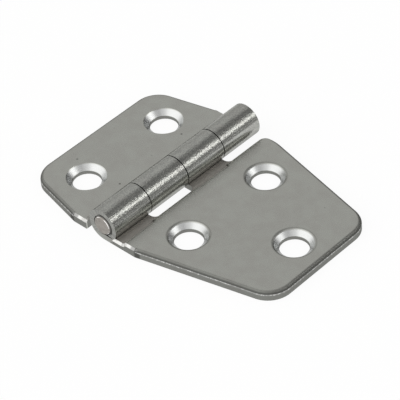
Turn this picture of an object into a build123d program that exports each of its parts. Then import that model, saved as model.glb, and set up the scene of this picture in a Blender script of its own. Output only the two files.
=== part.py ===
from build123d import *
from math import asin, cos, pi, sin, tan
import os

# A pressed stainless butt hinge, lying open flat on its mounting plane.
# Lengths are millimetres. The origin lies on the mounting plane, under the middle of the pin.
# +X points to the long leaf, +Y along the barrel and +Z away from the mounting plane.

# Sheet, barrel and pin
hinge_length = 38.0        # length of the barrel and of both leaves beside it
sheet = 1.2                # thickness of the sheet that each leaf is pressed from
pin_diameter = 4.0
pin_clearance = 0.05       # radial running gap between the pin and a curl
pin_end_bevel = 0.3        # broken edge of the pin's end faces
pin_proud = 0.2            # how far the pin's ends stand out of the barrel's ends
knuckle_count = 4          # the two leaves take turns along the barrel
first_shorter = 0.4        # how much shorter the first knuckle is than the other three
knuckle_gap = 0.2          # gap between the ends of two neighbouring knuckles
curl_end_gap = 0.08        # free end of a curl above the strip that it came from
curl_end_rise = 0.25       # how much higher the inner edge of that free end lies

# Form that both leaves share
panel_height = 1.8         # top of the raised panel above the mounting plane
shoulder = 7.5             # where the leaf's ends turn from straight to tapered
shoulder_round = 8.0       # the same turn where the rounded rim runs on to the barrel
barrel_relief = 1.05       # gap between a leaf's edge and the other leaf's knuckles
slot_relief = 0.3          # how much wider the inner slot is cut than the knuckle in it, each side
slot_corner = 1.2          # rounded inner corners between the knuckle strips
step_run = 1.1             # plan width of the step from the knuckle strips to the panel
step_stop = 0.9            # how far before a strip's far side its step ends
edge_round = 0.8           # rounded upper edge of the panel
end_bevel = 0.4            # broken upper edge of the straight ends beside the barrel
rim_width = 1.2            # width of the turned-down rim under the panel

# Countersunk screw holes, for a 90 degree head
screw_hole = 5.4
screw_head = 7.6           # where the cone would meet the panel's top face
screw_pitch = 20.4         # between the two screws of a pair
dimple_foot = 0.1          # lower rim of a pressed countersink above the mounting plane
dimple_wall = 0.9          # metal round the lower rim of a pressed countersink

# Long leaf, three screws
long_reach = 34.5
long_tip = 25.2            # width of its outer edge, measured to the sharp corners
long_corner = 4.9
long_barrel_corner = 1.7
long_pair_reach = 12.35
long_single_reach = 27.95
long_lip = 0.8             # softly rounded lip of its countersinks

# Short leaf, two screws
short_reach = 21.2
short_tip = 31.6
short_corner = 5.0
short_pair_reach = 12.9

# Sizes that follow from the ones above
pin_radius = pin_diameter / 2
bore_radius = pin_radius + pin_clearance
curl_radius = bore_radius + sheet
axis_height = curl_radius
slot_edge = curl_radius + barrel_relief
half_length = hinge_length / 2
knuckle_pitch = (hinge_length + first_shorter) / knuckle_count
hollow_height = panel_height - sheet
beyond = sheet             # how far a cutting tool reaches past the faces that it cuts
same = 0.01                # points closer than this are one point


def knuckle_span(index):
    """Lowest and highest y of a knuckle, flush with the barrel at its two ends."""
    high = half_length - (knuckle_count - 1 - index) * knuckle_pitch
    low = max(high - knuckle_pitch, -half_length)
    low += knuckle_gap / 2 if index > 0 else 0
    high -= knuckle_gap / 2 if index < knuckle_count - 1 else 0
    return low, high


def strip_spans(own):
    """The knuckles' strips where they join the leaf: the slot between them is cut wider."""
    spans = [list(span) for span in own]
    for before, after in zip(spans, spans[1:]):
        before[1] -= slot_relief
        after[0] += slot_relief
    return spans


def curl_profile():
    """Section of a knuckle: a strip that runs under the pin and is curled back over it."""
    outer_drop = axis_height - sheet - curl_end_gap
    outer_angle = asin(outer_drop / curl_radius)
    inner_angle = asin((outer_drop - curl_end_rise) / bore_radius)
    middle = 3 * pi / 4 - outer_angle / 2

    def around(radius, angle):
        return radius * cos(angle), axis_height + radius * sin(angle)

    outer_end, inner_end = around(curl_radius, -outer_angle), around(bore_radius, -inner_angle)
    section = [
        Line((slot_edge, 0), (0, 0)),
        ThreePointArc((0, 0), around(curl_radius, middle), outer_end),
        Line(outer_end, inner_end),
        ThreePointArc(inner_end, around(bore_radius, middle), (0, sheet)),
        Line((0, sheet), (slot_edge, sheet)),
        Line((slot_edge, sheet), (slot_edge, 0)),
    ]
    return make_face(section)


def rectangle(x_low, x_high, y_low, y_high):
    """Flat rectangle in plan between two x and two y values."""
    centre = Pos((x_low + x_high) / 2, (y_low + y_high) / 2)
    return centre * Rectangle(x_high - x_low, y_high - y_low)


def between(profile, low, high):
    """Solid of an XZ profile that runs from y = low to y = high."""
    section = Plane.XZ.offset(-low) * profile
    return extrude(section, amount=high - low, dir=(0, 1, 0))


def strip_roots(own):
    """Where the knuckle strips leave the panel, with the rounded inner corners of the slots."""
    spans = strip_spans(own)
    band_end = spans[-1][1] + 2 * slot_corner
    plan = rectangle(slot_edge, slot_edge + step_run, -half_length, band_end)
    for low, high in spans:
        plan += rectangle(slot_edge - 2 * slot_corner, slot_edge, low, high)
    strip_ends = [y for span in spans for y in span if y > -half_length]
    inner = [
        v for v in plan.vertices()
        if abs(v.X - slot_edge) < same and min(abs(v.Y - y) for y in strip_ends) < same
    ]
    return extrude(fillet(inner, slot_corner), amount=sheet)


def knuckles(own):
    """The curls with their strips, which are narrower where the slot beside them is cut wider."""
    curls = []
    for span, root in zip(own, strip_spans(own)):
        curl = between(curl_profile(), *span)
        for low, high in ((span[0], root[0]), (root[1], span[1])):
            if high > low:
                curl -= extrude(rectangle(sheet, slot_edge, low, high), amount=sheet)
        curls.append(curl)
    return curls


def panel_outline(reach, tip, corner, barrel_corner):
    """Plan of a leaf from the slots outwards: straight ends, two tapers and an outer edge.

    A barrel corner above nought rounds the corner beside the last slot and the turn after it.
    """
    corners = [
        (slot_edge, -half_length),
        (shoulder, -half_length),
        (reach, -tip / 2),
        (reach, tip / 2),
        (shoulder, half_length),
        (slot_edge, half_length),
    ]
    plan = make_face(Polyline(*corners, close=True))
    plan = fillet([v for v in plan.vertices() if v.X > reach - same], corner)
    if barrel_corner > 0:
        far = half_length - same
        plan = fillet([v for v in plan.vertices() if v.Y > far and v.X < slot_edge + same], barrel_corner)
        plan = fillet([v for v in plan.vertices() if v.Y > far and v.X > shoulder - same], shoulder_round)
    return plan


def end_land(side):
    """Full height edge at a straight end beside the barrel, only broken where the rim is rounded."""
    end = side * half_length
    section = Polyline(
        (end, 0),
        (end, panel_height - end_bevel),
        (end - side * end_bevel, panel_height),
        (end - side * edge_round, panel_height),
        (end - side * edge_round, 0),
        close=True,
    )
    face = Plane.YZ.offset(slot_edge) * make_face(section)
    return extrude(face, amount=shoulder - slot_edge, dir=(1, 0, 0))


def panel(reach, tip, corner, barrel_corner):
    """The raised panel with its rounded upper edge, and the straight ends that keep their height."""
    solid = extrude(panel_outline(reach, tip, corner, barrel_corner), amount=panel_height)
    solid = fillet(solid.faces().sort_by(Axis.Z)[-1].edges(), edge_round)
    solid += end_land(-1)
    if barrel_corner == 0:
        solid += end_land(1)
    return solid


def step_curves():
    """The step from a strip up to the panel in XZ: two tangent arcs."""
    foot, crest = (slot_edge, sheet), (slot_edge + step_run, panel_height)
    middle = ((foot[0] + crest[0]) / 2, (foot[1] + crest[1]) / 2)
    hollow = TangentArc(foot, middle, tangent=(1, 0))
    round_over = TangentArc(middle, crest, tangent=hollow % 1)
    return [hollow, round_over]


def step_section():
    """What the press takes off above the step, as an XZ face."""
    foot, crest = (slot_edge, sheet), (slot_edge + step_run, panel_height)
    above = panel_height + beyond
    behind = slot_edge - beyond
    rest = Polyline(crest, (crest[0], above), (behind, above), (behind, sheet), foot)
    return make_face([*step_curves(), *rest.edges()])


def step_cuts(own):
    """Tools for the steps from the strips up to the panel."""
    tools = []
    for low, high in strip_spans(own):
        start = low if low > -half_length else low - beyond
        tools.append(between(step_section(), start, high - step_stop))
    return tools


def end_bevel_cut():
    """Tool that breaks the upper edge of the leaf's end along its first strip and up the step."""
    start, crest = curl_radius - beyond, slot_edge + step_run
    curves = [
        Line((start, sheet), (slot_edge, sheet)),
        *step_curves(),
        Line((crest, panel_height), (crest + same, panel_height)),
    ]
    path = Plane.XZ.offset(half_length) * Wire(curves)
    past = end_bevel / 2
    corners = [
        (-half_length - past, sheet - end_bevel - past),
        (-half_length + end_bevel + past, sheet + past),
        (-half_length - past, sheet + past),
    ]
    section = Plane.YZ.offset(start) * make_face(Polyline(*corners, close=True))
    return sweep(section, path=path)


def hollow_cut(reach, tip, corner):
    """Tool for the shallow hollow under the panel, inside its turned-down rim."""
    first = slot_edge + step_run
    narrowing = (half_length - tip / 2) / (reach - shoulder)
    end = half_length - rim_width
    side = end - (reach - rim_width - shoulder) * narrowing
    corners = [
        (first, -end),
        (shoulder, -end),
        (reach - rim_width, -side),
        (reach - rim_width, side),
        (shoulder, end),
        (first, end),
    ]
    plan = make_face(Polyline(*corners, close=True))
    plan = fillet([v for v in plan.vertices() if v.X > reach - rim_width - same], corner - rim_width)
    plan = fillet([v for v in plan.vertices() if v.X < first + same], rim_width)
    return Pos(0, 0, -beyond) * extrude(plan, amount=hollow_height + beyond)


def dimple():
    """Metal pushed down round a pressed countersink, below the panel."""
    foot_radius = screw_hole / 2 + dimple_wall
    depth = hollow_height - dimple_foot
    top = hollow_height + dimple_wall / 2
    points = [
        (0, dimple_foot),
        (foot_radius, dimple_foot),
        (foot_radius + depth, hollow_height),
        (foot_radius + depth, top),
        (0, top),
    ]
    return revolve(Plane.XZ * make_face(Polyline(*points, close=True)), Axis.Z)


def countersink(lip):
    """Tool for a screw hole: straight wall and 45 degree cone, with a rounded lip where one is given."""
    hole, rim = screw_hole / 2, screw_head / 2
    above = panel_height + beyond
    if lip > 0:
        tangent_length = lip * tan(pi / 8)
        lip_end = (rim + tangent_length, panel_height)
        lip_start = (rim - tangent_length * cos(pi / 4), panel_height - tangent_length * sin(pi / 4))
        lip_edges = [TangentArc(lip_end, lip_start, tangent=(-1, 0))]
    else:
        lip_end = lip_start = (rim, panel_height)
        lip_edges = []
    wall = Polyline(
        lip_start,
        (hole, panel_height - (rim - hole)),
        (hole, -beyond),
        (0, -beyond),
        (0, above),
        (lip_end[0], above),
        lip_end,
    )
    return revolve(Plane.XZ * make_face([*lip_edges, *wall.edges()]), Axis.Z)


def leaf(reach, tip, corner, barrel_corner, own, screws, lip):
    """One pressed leaf with its two knuckles, its outer edge towards +X."""
    solid = panel(reach, tip, corner, barrel_corner)
    for tool in step_cuts(own):
        solid -= tool
    solid -= hollow_cut(reach, tip, corner)
    for x, y in screws:
        solid += Pos(x, y, 0) * dimple()
        solid -= Pos(x, y, 0) * countersink(lip)
    solid += strip_roots(own)
    for curl in knuckles(own):
        solid += curl
    return (solid - end_bevel_cut()).clean()


def long_leaf():
    own = [knuckle_span(index) for index in range(0, knuckle_count, 2)]
    pair = [(long_pair_reach, side * screw_pitch / 2) for side in (-1, 1)]
    screws = pair + [(long_single_reach, 0)]
    return leaf(long_reach, long_tip, long_corner, long_barrel_corner, own, screws, long_lip)


def short_leaf():
    """The short leaf, built like the long one and turned half round to fill its slots."""
    own = []
    for index in range(knuckle_count - 1, 0, -2):
        low, high = knuckle_span(index)
        own.append((-high, -low))
    screws = [(short_pair_reach, side * screw_pitch / 2) for side in (-1, 1)]
    solid = leaf(short_reach, short_tip, short_corner, 0, own, screws, 0)
    return Rot(0, 0, 180) * solid


def hinge_pin():
    """A plain rod through all four knuckles, with broken edges at its ends."""
    length = hinge_length + 2 * pin_proud
    rod = Cylinder(pin_radius, length, rotation=(90, 0, 0))
    rod = chamfer(rod.edges().filter_by(GeomType.CIRCLE), pin_end_bevel)
    return Pos(0, 0, axis_height) * rod


parts = {"long_leaf": long_leaf(), "short_leaf": short_leaf(), "hinge_pin": hinge_pin()}
os.makedirs("parts", exist_ok=True)
for name, solid in parts.items():
    export_step(solid, f"parts/{name}.step")
    print(name, "volume", round(solid.volume, 2), "mm3, solids", len(solid.solids()))
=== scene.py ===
# %% [markdown]
# A pressed stainless hinge, lying open flat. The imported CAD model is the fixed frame: two leaves that are
# each one folded sheet, and a pin. It gives true sizes, in metres, and nothing here moves or resizes it.
# All that is added is a camera, a room for the metal to mirror, a floor, and the finish of the metal.

# %% Load the frame
from math import cos, pi, radians, sin

import bpy
import numpy as np
from mathutils import Matrix, Vector


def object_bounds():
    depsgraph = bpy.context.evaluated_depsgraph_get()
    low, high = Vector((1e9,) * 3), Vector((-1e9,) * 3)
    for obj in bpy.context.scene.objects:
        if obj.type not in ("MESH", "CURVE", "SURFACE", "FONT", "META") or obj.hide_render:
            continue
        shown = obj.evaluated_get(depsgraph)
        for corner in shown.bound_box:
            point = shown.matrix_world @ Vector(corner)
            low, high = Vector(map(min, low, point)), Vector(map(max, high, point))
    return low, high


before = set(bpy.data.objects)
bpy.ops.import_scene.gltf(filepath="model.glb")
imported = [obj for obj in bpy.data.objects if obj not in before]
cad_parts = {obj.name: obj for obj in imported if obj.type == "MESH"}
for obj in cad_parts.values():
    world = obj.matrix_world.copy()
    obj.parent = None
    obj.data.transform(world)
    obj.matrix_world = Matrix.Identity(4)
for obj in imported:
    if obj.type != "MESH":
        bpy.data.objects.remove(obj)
cad_box = [list(corner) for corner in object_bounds()]
MM = 0.001
print("frame nodes", sorted(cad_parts))

# %% [markdown]
# The picture was taken with a long lens from the long leaf's side, above the first knuckle. A camera
# can be moved by hand or aimed by a constraint. Here its axes and its place are worked out from a few plain
# values, so that each of them can be set one by one: two angles, a small roll about the line of sight, a
# distance, and the pixel where the origin falls.

# %% Camera
CAMERA_AZIMUTH, CAMERA_ELEVATION, CAMERA_ROLL = radians(45.40), radians(41.02), radians(-4.26)
CAMERA_DISTANCE = 393.2 * MM
AIM_RIGHT, AIM_DOWN = -22.5, -15.65        # where the origin falls, in pixels right of and below the middle
FOCAL_PIXELS, PICTURE_PIXELS, SENSOR_MM = 2171.8, 400, 36.0
NEAREST_SEEN, FARTHEST_SEEN = 0.01, 20     # metres


def camera_axes(azimuth, elevation, roll):
    """Right, up and forward as unit vectors: level axes first, then turned by the roll about forward."""
    level_right = Vector((cos(azimuth), sin(azimuth), 0))
    forward = Vector((-sin(azimuth) * cos(elevation), cos(azimuth) * cos(elevation), -sin(elevation)))
    level_up = level_right.cross(forward)
    right = cos(roll) * level_right + sin(roll) * level_up
    up = -sin(roll) * level_right + cos(roll) * level_up
    return right, up, forward


def place_camera():
    """Stand back along the line of sight, then step aside until the origin falls on its pixel."""
    right, up, forward = camera_axes(CAMERA_AZIMUTH, CAMERA_ELEVATION, CAMERA_ROLL)
    per_pixel = CAMERA_DISTANCE / FOCAL_PIXELS
    place = -forward * CAMERA_DISTANCE - right * AIM_RIGHT * per_pixel + up * AIM_DOWN * per_pixel
    data = bpy.data.cameras.new("camera")
    data.sensor_width = SENSOR_MM
    data.lens = FOCAL_PIXELS * SENSOR_MM / PICTURE_PIXELS
    data.clip_start, data.clip_end = NEAREST_SEEN, FARTHEST_SEEN
    camera = bpy.data.objects.new("camera", data)
    bpy.context.scene.collection.objects.link(camera)
    camera.matrix_world = Matrix.Translation(place) @ Matrix((right, up, -forward)).transposed().to_4x4()
    bpy.context.scene.camera = camera
    return camera


camera = place_camera()
print("camera at", [round(c, 3) for c in camera.location], "lens", round(camera.data.lens, 1))

# %% [markdown]
# The world and the materials are graphs of nodes, and the same few steps come back in all of them. Written
# out every time, they would hide what they are for. These helpers take one step each: a node with its
# settings, a link or a plain value on a socket, and a sum or product of values.

# %% Helpers for nodes
def new_node(tree, kind, **values):
    """Add a node of a kind and set some of its properties."""
    node = tree.nodes.new(kind)
    for key, value in values.items():
        setattr(node, key, value)
    return node


def socket_value(tree, socket, value):
    """Link a socket to another one, or write a plain value on it."""
    if isinstance(value, bpy.types.NodeSocket):
        tree.links.new(value, socket)
    else:
        socket.default_value = value


def math_node(tree, operation, first, second=None):
    """A sum, product or other function of one or two values or sockets."""
    node = new_node(tree, "ShaderNodeMath", operation=operation)
    for socket, value in zip(node.inputs, (first, second)):
        if value is not None:
            socket_value(tree, socket, value)
    return node.outputs[0]


def times(tree, *values):
    """Two or more values multiplied together."""
    total = values[0]
    for value in values[1:]:
        total = math_node(tree, "MULTIPLY", total, value)
    return total


print("helpers", [helper.__name__ for helper in (new_node, socket_value, math_node, times)])

# %% [markdown]
# Two more helpers shape a value. The smooth step turns a measure into a mask: it is nought on one side,
# one on the other, and rises softly in between. The mix goes from one value to another by such a mask.

# %% Smooth step and mix
def ramp_node(tree, value, low, high):
    """Smooth step of a value: nought at low, one at high. Low may be the larger of the two."""
    node = new_node(tree, "ShaderNodeMapRange", interpolation_type="SMOOTHSTEP")
    socket_value(tree, node.inputs["Value"], value)
    settings = {"From Min": min(low, high), "From Max": max(low, high),
                "To Min": float(low > high), "To Max": float(low < high)}
    for name, setting in settings.items():
        node.inputs[name].default_value = setting
    return node.outputs[0]


def mix_value(tree, factor, first, second):
    """The first value where the factor is nought and the second where it is one."""
    node = new_node(tree, "ShaderNodeMix", data_type="FLOAT")
    for name, value in (("Factor", factor), ("A", first), ("B", second)):
        socket_value(tree, node.inputs[name], value)
    return node.outputs[0]


print("helpers", ramp_node.__name__, mix_value.__name__)

# %% [markdown]
# Bare metal shows what stands round it more than its own colour. The barrel is a mirror that is curved one
# way only, so it shows the room beyond it as streaks along its length. The room could be built from walls
# and lamps. Here it is the world, which is only a brightness for each direction, so it never stands in the
# picture and its streaks can be moved one by one. Past the barrel it has walls, a dark gap and a window.
# They are listed by their angle round the barrel's axis, from the short leaf's side over the top to the
# long leaf's side, because that is how the barrel sorts them.

# %% The far side of the room
FAR_SIDE = [
    # (what stands there, angle from straight up in degrees, brightness)
    ("floor line, short leaf's side", -120, 0.38),
    ("wall, short leaf's side", -76, 0.56),
    ("wall, higher up", -40, 0.62),
    ("wall ends", -22, 0.56),
    ("ceiling gap begins", -6, 0.20),
    ("ceiling gap", 8, 0.20),
    ("ceiling gap ends", 24, 0.26),
    ("window frame", 37, 0.38),
    ("window", 43, 3.00),
    ("window ends", 49, 2.50),
    ("wall under the window", 58, 0.33),
    ("wall, long leaf's side", 90, 0.235),
    ("floor line, long leaf's side", 130, 0.30),
]
BRIGHTEST = max(brightness for _, _, brightness in FAR_SIDE)


def far_side(tree, parts):
    """The angle, atan2 of x and z, as a share of a turn with straight up at a half, looked up on a ramp."""
    angle = math_node(tree, "ARCTAN2", parts["X"], parts["Z"])
    turn = math_node(tree, "ADD", math_node(tree, "DIVIDE", angle, 2 * pi), 0.5)
    ramp = new_node(tree, "ShaderNodeValToRGB", label="far side")
    tree.links.new(turn, ramp.inputs[0])
    stops = ramp.color_ramp.elements
    while len(stops) < len(FAR_SIDE):
        stops.new(1.0)
    for stop, (_, degrees, brightness) in zip(stops, FAR_SIDE):
        stop.position = degrees / 360 + 0.5
        stop.color = [brightness / BRIGHTEST] * 3 + [1]
    return times(tree, ramp.outputs["Color"], BRIGHTEST)


print("places on the far side", len(FAR_SIDE), "brightest", BRIGHTEST)

# %% [markdown]
# The countersunk cones and the rims look the other way, back past the camera. There the room is one large
# lit wall, with plain walls between it and the far side. Two soft dark places are left in it: a door at
# the barrel's far end, and the camera with its stand, which draws the dark band in each cone.

# %% The rest of the room
PLAIN_WALLS, LIT_WALL = 0.56, 1.25
# How far along the barrel a direction points, from -1 to 1, where one part of the room gives way to the next.
LIT_WALL_ENDS, FAR_SIDE_BEGINS, FAR_SIDE_ENDS = (-0.40, -0.12), (0.20, 0.42), (0.66, 0.84)
DARK_PLACES = [
    # (what it is, direction, cosines where the dark begins and is full, share of light that it takes)
    ("door at the far end", (0.0, 1.0, 0.0), 0.80, 0.95, 0.88),
    ("camera and its stand", (0.56, -0.46, 0.69), 0.86, 0.97, 0.42),
]
LIGHT_COLOUR = (1.0, 0.995, 0.985, 1)


def darkened(tree, direction, brightness):
    """Brightness times one minus each dark place's share, by the cosine of the angle to its middle."""
    for name, middle, begins, full, taken in DARK_PLACES:
        facing = new_node(tree, "ShaderNodeVectorMath", operation="DOT_PRODUCT", label=name)
        tree.links.new(direction, facing.inputs[0])
        facing.inputs[1].default_value = Vector(middle).normalized()
        dark = times(tree, ramp_node(tree, facing.outputs["Value"], begins, full), -taken)
        brightness = times(tree, brightness, math_node(tree, "ADD", dark, 1.0))
    return brightness


print("dark places", [place[0] for place in DARK_PLACES])

# %% [markdown]
# The world puts the parts of the room together by how far a direction points along the barrel. There are
# no lamps beside it: a whole room of soft light throws no hard shadows, as in the picture.

# %% Studio world
def studio_world():
    """Far side, plain walls and lit wall, mixed by the direction's y, then darkened in places."""
    world = bpy.data.worlds.new("studio")
    world.use_nodes = True
    tree = world.node_tree
    tree.nodes.clear()
    out = new_node(tree, "ShaderNodeOutputWorld")
    direction = new_node(tree, "ShaderNodeTexCoord").outputs["Generated"]
    split = new_node(tree, "ShaderNodeSeparateXYZ")
    tree.links.new(direction, split.inputs[0])
    parts = split.outputs
    far_share = times(tree, ramp_node(tree, parts["Y"], *FAR_SIDE_BEGINS),
                      ramp_node(tree, parts["Y"], *reversed(FAR_SIDE_ENDS)))
    brightness = mix_value(tree, far_share, PLAIN_WALLS, far_side(tree, parts))
    near_share = ramp_node(tree, parts["Y"], *reversed(LIT_WALL_ENDS))
    brightness = mix_value(tree, near_share, brightness, LIT_WALL)
    lit = new_node(tree, "ShaderNodeBackground")
    lit.inputs["Color"].default_value = LIGHT_COLOUR
    tree.links.new(darkened(tree, direction, brightness), lit.inputs["Strength"])
    tree.links.new(lit.outputs[0], out.inputs["Surface"])
    bpy.context.scene.world = world
    return world


bpy.context.scene.view_settings.view_transform = "Standard"
studio = studio_world()
print("world nodes", len(studio.node_tree.nodes))

# %% [markdown]
# The floor is a plain pale sheet under the hinge. Camera rays see it white, with a little of its
# real shading left in, which keeps a faint shadow. Lit paper alone would come out grey, and a glowing sheet
# alone would lose the shadow, so the two are mixed. Gloss sees the same white sheet. From below the sheet
# is clear, so that the underside of the hinge can be looked at.

# %% Paper for the floor
PAPER, GLOW, GLOW_STRENGTH = (0.9, 0.9, 0.9, 1), (1, 1, 1, 1), 1.04
SHADOW_SHARE = 0.12


def paper_material():
    """Glow for camera, gloss and glass rays less the shadow's share, else paper, and clear from below."""
    material = bpy.data.materials.new("pale_paper")
    material.use_nodes = True
    tree = material.node_tree
    tree.nodes.clear()
    out = new_node(tree, "ShaderNodeOutputMaterial")
    paper = new_node(tree, "ShaderNodeBsdfDiffuse")
    paper.inputs["Color"].default_value = PAPER
    glow = new_node(tree, "ShaderNodeEmission")
    glow.inputs["Color"].default_value = GLOW
    glow.inputs["Strength"].default_value = GLOW_STRENGTH
    path = new_node(tree, "ShaderNodeLightPath")
    seen = math_node(tree, "MAXIMUM", path.outputs["Is Camera Ray"], path.outputs["Is Glossy Ray"])
    seen = math_node(tree, "MAXIMUM", seen, path.outputs["Is Transmission Ray"])
    below = new_node(tree, "ShaderNodeNewGeometry").outputs["Backfacing"]
    clear = new_node(tree, "ShaderNodeBsdfTransparent")
    surface = paper.outputs[0]
    for share, other in ((times(tree, seen, 1.0 - SHADOW_SHARE), glow), (below, clear)):
        mix = new_node(tree, "ShaderNodeMixShader")
        for socket, link in zip(mix.inputs, (share, surface, other.outputs[0])):
            tree.links.new(link, socket)
        surface = mix.outputs[0]
    tree.links.new(surface, out.inputs["Surface"])
    return material


paper = paper_material()
print("paper nodes", len(paper.node_tree.nodes))

# %% [markdown]
# The sheet itself is one square, far larger than the hinge, a hair below its lowest point. It is part of
# the stage and not of the hinge.

# %% Floor
FLOOR_SIZE, FLOOR_GAP = 2.0, 0.02 * MM


def pale_floor(material):
    """A square of the floor's size, at the frame's lowest height less the gap."""
    corners = np.array([(-1, -1, 0), (1, -1, 0), (1, 1, 0), (-1, 1, 0)]) * FLOOR_SIZE / 2
    corners[:, 2] = cad_box[0][2] - FLOOR_GAP
    mesh = bpy.data.meshes.new("floor")
    mesh.from_pydata(corners.tolist(), [], [(0, 1, 2, 3)])
    mesh.materials.append(material)
    floor = bpy.data.objects.new("floor", mesh)
    bpy.context.scene.collection.objects.link(floor)
    return floor


floor = pale_floor(paper)
print(floor.name, FLOOR_SIZE, "m square, at", round(cad_box[0][2] - FLOOR_GAP, 6), "m")

# %% [markdown]
# Every finish here is worked out from the place on the piece, in millimetres. Object coordinates are in
# metres and stay with the piece when it turns, so they are scaled once. Noise of that place then gives
# marks of a true size, wherever the piece is and however it is turned. Pictures wrapped round the pieces
# could do the same, but they would need flattened maps of the CAD meshes.

# %% Place in millimetres, and noise
PER_METRE = 1000.0


def millimetres(tree):
    """The place on the piece in millimetres, and its x, y and z."""
    place = new_node(tree, "ShaderNodeTexCoord").outputs["Object"]
    scale = new_node(tree, "ShaderNodeVectorMath", operation="SCALE")
    tree.links.new(place, scale.inputs[0])
    scale.inputs["Scale"].default_value = PER_METRE
    parts = new_node(tree, "ShaderNodeSeparateXYZ")
    tree.links.new(scale.outputs[0], parts.inputs[0])
    return scale.outputs[0], parts.outputs


def noise_node(tree, vector, scale, detail=2.0, roughness=0.5):
    """Noise from about nought to one, with the given number of bumps to a millimetre."""
    node = new_node(tree, "ShaderNodeTexNoise")
    socket_value(tree, node.inputs["Vector"], vector)
    socket_value(tree, node.inputs["Scale"], scale)
    node.inputs["Detail"].default_value = detail
    node.inputs["Roughness"].default_value = roughness
    return node.outputs[0]


print("helpers", millimetres.__name__, noise_node.__name__)

# %% [markdown]
# Worn metal looks much the same on a sheet and on a rod: soft clouds where it was handled, a fine grain
# from rolling or drawing, and a few dark pits. These are one node group with named inputs and outputs. It
# is built once, and each material places it with its own sizes and uses the masks in its own way.

# %% Node group for worn metal
GROUP_INPUTS = {"Place": "NodeSocketVector", "Clouds per mm": "NodeSocketFloat",
                "Grain per mm": "NodeSocketFloat", "Pits per mm": "NodeSocketFloat"}
GROUP_OUTPUTS = ("Clouds", "Grain", "Pits")
CLOUD_NOISE, GRAIN_NOISE = {"detail": 3.0, "roughness": 0.6}, {"detail": 3.0, "roughness": 0.7}
CLOUD_STEP = (0.30, 0.70)                  # the part of the noise that is spread over nought to one
PIT_STEP = (0.085, 0.045)                  # a pit's edge, as a share of its cell
PIT_CHOICE = (0.62, 0.72)                  # the random value above which a cell has a pit


def worn_metal_group():
    """Clouds and grain are noise of two sizes, and pits are the few chosen cells of a Voronoi pattern."""
    group = bpy.data.node_groups.new("worn_metal", "ShaderNodeTree")
    for name, kind in GROUP_INPUTS.items():
        group.interface.new_socket(name=name, in_out="INPUT", socket_type=kind)
    for name in GROUP_OUTPUTS:
        group.interface.new_socket(name=name, in_out="OUTPUT", socket_type="NodeSocketFloat")
    inside, outside = new_node(group, "NodeGroupInput").outputs, new_node(group, "NodeGroupOutput").inputs
    clouds = noise_node(group, inside["Place"], inside["Clouds per mm"], **CLOUD_NOISE)
    group.links.new(ramp_node(group, clouds, *CLOUD_STEP), outside["Clouds"])
    grain = noise_node(group, inside["Place"], inside["Grain per mm"], **GRAIN_NOISE)
    group.links.new(grain, outside["Grain"])
    cells = new_node(group, "ShaderNodeTexVoronoi")
    group.links.new(inside["Place"], cells.inputs["Vector"])
    group.links.new(inside["Pits per mm"], cells.inputs["Scale"])
    near = ramp_node(group, cells.outputs["Distance"], *PIT_STEP)
    chosen = new_node(group, "ShaderNodeSeparateColor")
    group.links.new(cells.outputs["Color"], chosen.inputs[0])
    group.links.new(times(group, near, ramp_node(group, chosen.outputs[0], *PIT_CHOICE)), outside["Pits"])
    return group


worn_metal = worn_metal_group()
print("node group", worn_metal.name, [item.name for item in worn_metal.interface.items_tree])

# %% [markdown]
# Both materials begin and end in the same way: a plain metal shader, the place in millimetres, the wear
# group, and at the end a height in millimetres that only tilts the light.

# %% A metal to start from
def metal_material(name, wear_sizes):
    """Material, tree, shader, the x, y and z of the place, and the wear masks at the given sizes."""
    material = bpy.data.materials.new(name)
    material.use_nodes = True
    tree = material.node_tree
    shader = tree.nodes["Principled BSDF"]
    shader.inputs["Metallic"].default_value = 1.0
    place, parts = millimetres(tree)
    wear = new_node(tree, "ShaderNodeGroup", node_tree=worn_metal)
    tree.links.new(place, wear.inputs["Place"])
    for socket, per_mm in wear_sizes.items():
        wear.inputs[socket].default_value = per_mm
    return material, tree, shader, parts, wear.outputs


def finish_metal(tree, shader, colour, roughness, height):
    """Link the colour and roughness, and the height in millimetres through a bump."""
    tree.links.new(colour, shader.inputs["Base Color"])
    tree.links.new(roughness, shader.inputs["Roughness"])
    bump = new_node(tree, "ShaderNodeBump")
    bump.inputs["Distance"].default_value = MM
    tree.links.new(height, bump.inputs["Height"])
    tree.links.new(bump.outputs[0], shader.inputs["Normal"])


print("helpers", metal_material.__name__, finish_metal.__name__)

# %% [markdown]
# The sheet is one material for both leaves, because each leaf is one piece of metal. What differs is how
# the press and the tools left it. Painted masks or more materials would need marks on the CAD meshes, which
# stay as they are, so the material finds each place by itself. It does so from a few measures: the distance
# and angle round the pin, the distance to a screw hole, the height, and the way that the face looks. They
# are in object space, so a leaf carries them along when it folds.

# %% Measures on the sheet
AXIS_HEIGHT, CURL_RADIUS = 3.25, 3.25
GAP_SHADE_ANGLE = 0.9                          # radians from straight up to the middle of the painted shade in the gap by the pin
HOLES = [(12.35, -10.2), (12.35, 10.2), (27.95, 0.0), (-12.9, -10.2), (-12.9, 10.2)]


def distance_to(tree, first, second, first_middle, second_middle):
    """Square root of the sum of both differences squared."""
    squares = [math_node(tree, "POWER", math_node(tree, "SUBTRACT", value, middle), 2.0)
               for value, middle in ((first, first_middle), (second, second_middle))]
    return math_node(tree, "SQRT", math_node(tree, "ADD", *squares))


def hole_distance(tree, x, y):
    """Distance in plan to the axis of the nearest screw hole, the least of all of them."""
    nearest = None
    for hole_x, hole_y in HOLES:
        distance = distance_to(tree, x, y, hole_x, hole_y)
        nearest = distance if nearest is None else math_node(tree, "MINIMUM", nearest, distance)
    return nearest


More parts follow.
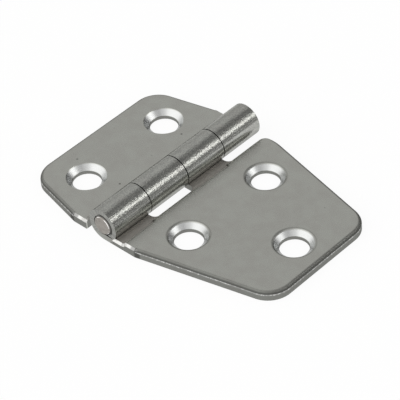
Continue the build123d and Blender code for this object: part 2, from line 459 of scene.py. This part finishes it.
def sheet_measures(tree, x, y, z):
    """Distances in millimetres, the angle as atan2 of x and height over the pin, and the face's normal."""
    facing = new_node(tree, "ShaderNodeSeparateXYZ")
    tree.links.new(new_node(tree, "ShaderNodeTexCoord").outputs["Normal"], facing.inputs[0])
    angle = math_node(tree, "ARCTAN2", x, math_node(tree, "SUBTRACT", z, AXIS_HEIGHT))
    return {"height": z, "from pin": distance_to(tree, x, z, 0.0, AXIS_HEIGHT), "angle": angle,
            "from gap shade": math_node(tree, "ABSOLUTE", math_node(tree, "SUBTRACT", angle, GAP_SHADE_ANGLE)),
            "across": math_node(tree, "ABSOLUTE", x), "along": math_node(tree, "ABSOLUTE", y),
            "hole": hole_distance(tree, x, y), "up": facing.outputs["Z"],
            "level": math_node(tree, "ABSOLUTE", facing.outputs["Z"]),
            "endwise": math_node(tree, "ABSOLUTE", facing.outputs["Y"])}


print("screw holes", len(HOLES))

# %% [markdown]
# A mask is one on its own place and nought elsewhere. Each one here is a product of smooth steps, listed
# as the measure, where it is nought and where it is one. The first are for the barrel: the outside of the
# curls, a narrow band low on the long leaf's side, and the cut ends, with a crescent of painted shade in the
# gap by the pin.

# %% Masks for the barrel and the ends
SHEET_MASKS = {
    "curl": [("from pin", 3.55, 3.30), ("height", 0.9, 1.3)],
    "lower": ["curl", ("angle", 1.20, 1.38), ("angle", 1.62, 1.52)],
    "end": [("endwise", 0.80, 0.95), ("along", 18.7, 18.8)],
    "leaf end": ["end", ("from pin", 3.3, 3.6)],
    # Painted shade: a dark crescent in the gap between the pin and the end of the curl.
    "gap shade": ["end", ("from pin", 2.42, 2.28), ("from gap shade", 1.5, 1.0)],
}
print("masks", list(SHEET_MASKS))

# %% [markdown]
# The panel of each leaf is a flat field with a rounded rim that is turned down. Tilted means any face that
# looks neither straight up nor down. The crest is where the rounding begins, and lower down a narrow line
# gets a painted highlight. Next to the barrel the strips lie lower than the panel, and a short step leads up
# to it.
# The short broken edge at each end of the strips gets a painted highlight too.

# %% Masks for the panels
SHEET_MASKS |= {
    "tilted": [("up", 0.97, 0.55), ("up", -0.75, -0.45)],
    "rim": ["tilted", ("across", 7.2, 7.7), ("hole", 4.15, 4.25)],
    "glint_band": ["rim", ("up", 0.08, 0.18), ("up", 0.42, 0.32)],
    "crest": [("up", 0.999, 0.93), ("up", 0.28, 0.42), ("height", 1.15, 1.25), ("height", 1.9, 1.8),
              ("hole", 3.80, 3.90), ("across", 6.3, 6.7)],
    "strip": [("height", 1.7, 1.25), ("up", 0.6, 0.9), ("across", 5.6, 5.0)],
    "step": [("up", 0.99, 0.90), ("up", 0.3, 0.5), ("across", 4.2, 4.3), ("across", 5.7, 5.5)],
    "broken": ["tilted", ("along", 18.5, 18.6), ("across", 8.1, 7.9), ("up", 0.4, 0.6),
               ("height", 1.9, 1.8)],
}
print("masks", len(SHEET_MASKS))

# %% [markdown]
# The cuts come last: the cone of each countersink, the short straight wall under it, and the walls of the
# slots. A part may also be the opposite of an earlier mask. One loop turns the whole list into nodes,
# which is easier to read and to change than a long chain of them.

# %% Masks for the cuts
SHEET_MASKS |= {
    "wall": [("hole", 2.80, 2.72), ("height", 1.0, 0.8)],
    "cone": ["tilted", ("hole", 3.80, 3.60), ("up", 0.0, 0.2), ("not", "wall")],
    "slot": [("level", 0.40, 0.25), ("along", 18.8, 18.7), ("across", 7.2, 7.0), ("height", 1.9, 1.8)],
}


def sheet_masks(tree, measures):
    """Each mask is the product of its parts: smooth steps, earlier masks, or one minus an earlier mask."""
    masks = {}
    for name, parts in SHEET_MASKS.items():
        factors = []
        for part in parts:
            if isinstance(part, str):
                factors.append(masks[part])
            elif part[0] == "not":
                factors.append(math_node(tree, "SUBTRACT", 1.0, masks[part[1]]))
            else:
                measure, nought_at, one_at = part
                factors.append(ramp_node(tree, measures[measure], nought_at, one_at))
        masks[name] = times(tree, *factors)
    return masks


print("masks", len(SHEET_MASKS))

# %% [markdown]
# Curling dragged the sheet round a former, which left marks and shallow dents all over the barrel. They
# break the window's reflection into small glints. The noise is laid out on the curl as if it were
# unrolled: along the pin, and radius times angle round it. The cones have fine turning rings instead,
# which are noise of the distance to the hole. Noise is uneven, as worn marks are, where waves would repeat.

# %% Tool marks
MARKS_ALONG, MARKS_ROUND = 2.5, 1.3        # per millimetre, so the marks are longer round the curl
DENTS_PER_MM, MOTTLE_PER_MM = 3.6, 4.2
MOTTLE_LAYER = 7.0                         # only a different slice of the noise
RINGS_PER_MM, RING_DRIFT = 3.5, 0.6        # the drift lets a ring fade on its way round


def vector_node(tree, x, y, z):
    """Three values put together as a vector."""
    node = new_node(tree, "ShaderNodeCombineXYZ")
    for socket, value in zip(node.inputs, (x, y, z)):
        socket_value(tree, socket, value)
    return node.outputs[0]


def tool_marks(tree, x, y, measures):
    """Noise on the unrolled curl at three sizes, and noise in rings round the nearest hole."""
    round_curl = times(tree, measures["angle"], CURL_RADIUS)
    return {
        "marks": noise_node(tree, vector_node(tree, times(tree, y, MARKS_ALONG),
                                              times(tree, round_curl, MARKS_ROUND), 0.0), 1.0),
        "dents": noise_node(tree, vector_node(tree, y, round_curl, 0.0), DENTS_PER_MM),
        "mottle": noise_node(tree, vector_node(tree, y, round_curl, MOTTLE_LAYER), MOTTLE_PER_MM, detail=1.0),
        "rings": noise_node(tree, vector_node(tree, times(tree, measures["hole"], RINGS_PER_MM),
                                              times(tree, x, RING_DRIFT), times(tree, y, RING_DRIFT)), 1.0),
    }


print("dents per mm", DENTS_PER_MM, "mottle per mm", MOTTLE_PER_MM)

# %% [markdown]
# Layers of colour are mixed one over another, each by its own mask. Multiplied instead of mixed, a layer
# darkens what is there and keeps its pattern.

# %% Mix of colours
def mix_colour(tree, factor, first, second, blend="MIX"):
    """The first colour where the factor is nought, and the second mixed or blended in where it is one."""
    node = new_node(tree, "ShaderNodeMix", data_type="RGBA", blend_type=blend)
    colour_sockets = [socket for socket in node.inputs if socket.type == "RGBA"]
    socket_value(tree, node.inputs["Factor"], factor)
    socket_value(tree, colour_sockets[0], first)
    socket_value(tree, colour_sockets[1], second)
    return [socket for socket in node.outputs if socket.type == "RGBA"][0]


print("helpers", mix_colour.__name__)

# %% [markdown]
# The colour of a metal is the share of light that it sends back. The satin flats send back about half, cut
# places and the painted highlights more, and the pits and the painted shade in the gap by the pin almost
# nothing. Tints replace the satin on their places. Painted shade darkens the rim, the walls of holes and
# slots, the cut ends, a band low on the barrel and the crest: each keeps only a share of what it had.

# %% Sheet colours
SATIN, SATIN_DARK = (0.515, 0.525, 0.49, 1), (0.485, 0.485, 0.455, 1)
# The first is a painted highlight for the broken edges and the rim line's glints. The second is the dark of
# the pits and of the painted shade in the gap by the pin.
PAINTED_HIGHLIGHT, PIT_DIRT_AND_GAP_SHADE = (0.90, 0.90, 0.89, 1), (0.06, 0.06, 0.055, 1)
CURL_STAIN, STAIN_STEP = (0.80, 0.80, 0.82, 1), (0.42, 0.62)
# On the broken edges the tint is a painted highlight.
TINTS = {"strip": (0.60, 0.575, 0.545, 1), "step": (0.66, 0.65, 0.62, 1),
         "cone": (0.88, 0.895, 0.905, 1), "broken": PAINTED_HIGHLIGHT}
# Painted shade: the rim, the hole and slot walls, the cut ends, a band low on the barrel and the crest keep
# only these shares of their colour.
PAINTED_SHADE_SHARES = {"rim": 0.48, "wall": 0.42, "slot": 0.42, "end": 0.70, "leaf end": 0.62, "lower": 0.86,
        "crest": 0.60}
# Painted highlight: broken glints along the rim line, picked out by the grain.
GLINT_STEP, GLINT_GAIN, GLINT_BASE = (0.46, 0.66), 0.70, 0.16
PIT_SHARE = 0.6                            # how much of a pit takes the dark colour


def sheet_colour(tree, masks, wear, marks):
    """Satin in clouds, then stains, tints, painted shade, painted glints on the rim line, painted shade in
    the gap, and pits.
    """
    colour = mix_colour(tree, wear["Clouds"], SATIN, SATIN_DARK)
    stain = times(tree, masks["curl"], ramp_node(tree, marks["mottle"], *STAIN_STEP))
    colour = mix_colour(tree, stain, colour, CURL_STAIN, "MULTIPLY")
    for name, tint in TINTS.items():
        colour = mix_colour(tree, masks[name], colour, tint)
    # Painted shade, multiplied over each of the places above.
    for name, share in PAINTED_SHADE_SHARES.items():
        colour = mix_colour(tree, masks[name], colour, (share, share, share, 1), "MULTIPLY")
    # Painted highlight: glints on the rim line.
    glints = times(tree, ramp_node(tree, wear["Grain"], *GLINT_STEP), GLINT_GAIN)
    glints = times(tree, masks["glint_band"], math_node(tree, "ADD", glints, GLINT_BASE))
    colour = mix_colour(tree, glints, colour, PAINTED_HIGHLIGHT)
    # Painted shade in the gap by the pin, then the pits' own dark.
    colour = mix_colour(tree, masks["gap shade"], colour, PIT_DIRT_AND_GAP_SHADE)
    return mix_colour(tree, times(tree, wear["Pits"], PIT_SHARE), colour, PIT_DIRT_AND_GAP_SHADE)


print("tints", list(TINTS), "painted shade places", list(PAINTED_SHADE_SHARES))

# %% [markdown]
# Roughness spreads a reflection. Rolled flats spread it a little, the folded rim, the strips and the step
# more, and the curls, which slid over a former, less than the flats.

# %% Sheet roughness
ROUGHNESS, GRAIN_ROUGHNESS = 0.24, 0.08
ROUGHER = {"rim": 0.20, "crest": 0.20, "strip": 0.25, "step": 0.42, "cone": 0.06, "curl": -0.07}


def sheet_roughness(tree, masks, wear):
    """A base value plus the grain's share, plus each place's own amount times its mask."""
    rough = math_node(tree, "ADD", times(tree, wear["Grain"], GRAIN_ROUGHNESS), ROUGHNESS)
    for name, more in ROUGHER.items():
        rough = math_node(tree, "ADD", rough, times(tree, masks[name], more))
    return rough


print("roughness", ROUGHNESS, "and more on", list(ROUGHER))

# %% [markdown]
# The marks are a few hundredths of a millimetre deep, far too shallow to model, so they are a bump, which
# only tilts the light. It is calmer low on the long leaf's side of the barrel, where the picture shows
# fewer glints, and the flats have almost none.

# %% Sheet heights
GRAIN_HEIGHT, RING_HEIGHT = 0.0004, 0.003  # millimetres
CURL_HEIGHTS = {"marks": 0.050, "dents": 0.036, "mottle": 0.010}
CALM_STEP, CALM_SHARE = (1.10, 0.92), 0.35  # radians from straight up, and the share of height left there


def sheet_height(tree, measures, masks, wear, marks):
    """Grain everywhere, plus the curl's marks times a share that falls low on its side, plus the rings."""
    curl = None
    for name, height in CURL_HEIGHTS.items():
        part = times(tree, marks[name], height)
        curl = part if curl is None else math_node(tree, "ADD", curl, part)
    calm = times(tree, ramp_node(tree, measures["angle"], *CALM_STEP), 1.0 - CALM_SHARE)
    curl = times(tree, curl, math_node(tree, "ADD", calm, CALM_SHARE))
    grain = times(tree, wear["Grain"], GRAIN_HEIGHT)
    total = math_node(tree, "ADD", grain, times(tree, curl, masks["curl"]))
    return math_node(tree, "ADD", total, times(tree, marks["rings"], RING_HEIGHT, masks["cone"]))


print("heights on the curl, mm", CURL_HEIGHTS)

# %% [markdown]
# The sheet's material puts the parts together. Smooth metal turns into a full mirror at a glancing angle,
# which draws a bright line along the barrel's outline. A satin surface does so far less, and the specular
# tint of the shader holds it down.

# %% Sheet finish
EDGE_TINT = (0.60, 0.60, 0.59, 1)
SHEET_WEAR = {"Clouds per mm": 0.4, "Grain per mm": 3.2, "Pits per mm": 0.30}


def sheet_material():
    """Satin sheet: measures give masks, and these give colour, roughness and height."""
    material, tree, shader, (x, y, z), wear = metal_material("pressed_sheet", SHEET_WEAR)
    measures = sheet_measures(tree, x, y, z)
    masks = sheet_masks(tree, measures)
    marks = tool_marks(tree, x, y, measures)
    shader.inputs["Specular Tint"].default_value = EDGE_TINT
    finish_metal(tree, shader, sheet_colour(tree, masks, wear, marks), sheet_roughness(tree, masks, wear),
                 sheet_height(tree, measures, masks, wear, marks))
    return material


sheet_steel = sheet_material()
print("sheet nodes", len(sheet_steel.node_tree.nodes))

# %% [markdown]
# The pin is a drawn rod whose ends were cut off. It is a shade browner and duller than the
# sheet. The bevel at its end is darkened as painted shade, and the edge of the flat face inside it gets a
# painted highlight in places. Both are rings, so they are found by the distance from the pin's axis, with no
# cut in the mesh.

# %% Pin finish
ROD, ROD_DARK = (0.34, 0.32, 0.29, 1), (0.27, 0.25, 0.23, 1)
ROD_GLINT, ROD_BEVEL_SHADE = (0.90, 0.89, 0.87, 1), (0.13, 0.125, 0.12, 1)
ROD_WEAR = {"Clouds per mm": 1.1, "Grain per mm": 4.0, "Pits per mm": 0.5}
ROD_RADIUS, ROD_BEVEL = 2.0, 0.3
ROD_EDGE = ROD_RADIUS - ROD_BEVEL
BEVEL_SHADE_RING, GLINT_RING_INSIDE, GLINT_RING_OUTSIDE = (0.08, 0.20), (-0.02, 0.02), (0.12, 0.08)  # from that edge
GLINT_PLACES = (0.30, 0.55)
ROD_ROUGHNESS, ROD_GRAIN_ROUGHNESS, ROD_GRAIN_HEIGHT = 0.25, 0.2, 0.012


def pin_material():
    """Rod in clouds, a ring of painted shade on the bevel, and a thin ring of painted highlight where the
    clouds let it show.
    """
    material, tree, shader, (x, y, z), wear = metal_material("pin_rod", ROD_WEAR)
    from_edge = math_node(tree, "SUBTRACT", distance_to(tree, x, z, 0.0, AXIS_HEIGHT), ROD_EDGE)
    colour = mix_colour(tree, wear["Clouds"], ROD, ROD_DARK)
    # Painted shade on the bevel.
    colour = mix_colour(tree, ramp_node(tree, from_edge, *BEVEL_SHADE_RING), colour, ROD_BEVEL_SHADE)
    # Painted highlight: a thin broken ring at the edge of the end face.
    glint_band = times(tree, ramp_node(tree, from_edge, *GLINT_RING_INSIDE), ramp_node(tree, from_edge, *GLINT_RING_OUTSIDE),
                   ramp_node(tree, wear["Clouds"], *GLINT_PLACES))
    colour = mix_colour(tree, glint_band, colour, ROD_GLINT)
    rough = math_node(tree, "ADD", times(tree, wear["Grain"], ROD_GRAIN_ROUGHNESS), ROD_ROUGHNESS)
    finish_metal(tree, shader, colour, rough, times(tree, wear["Grain"], ROD_GRAIN_HEIGHT))
    return material


pin_steel = pin_material()
print("pin nodes", len(pin_steel.node_tree.nodes))

# %% [markdown]
# The pieces of the frame already have their true shapes, so they are kept as they are and only take the
# new materials. Both leaves share the sheet's.

# %% Dress the pieces
for node, material in (("long_leaf", sheet_steel), ("short_leaf", sheet_steel), ("hinge_pin", pin_steel)):
    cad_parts[node].data.materials.clear()
    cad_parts[node].data.materials.append(material)
    print(node, "takes", material.name)
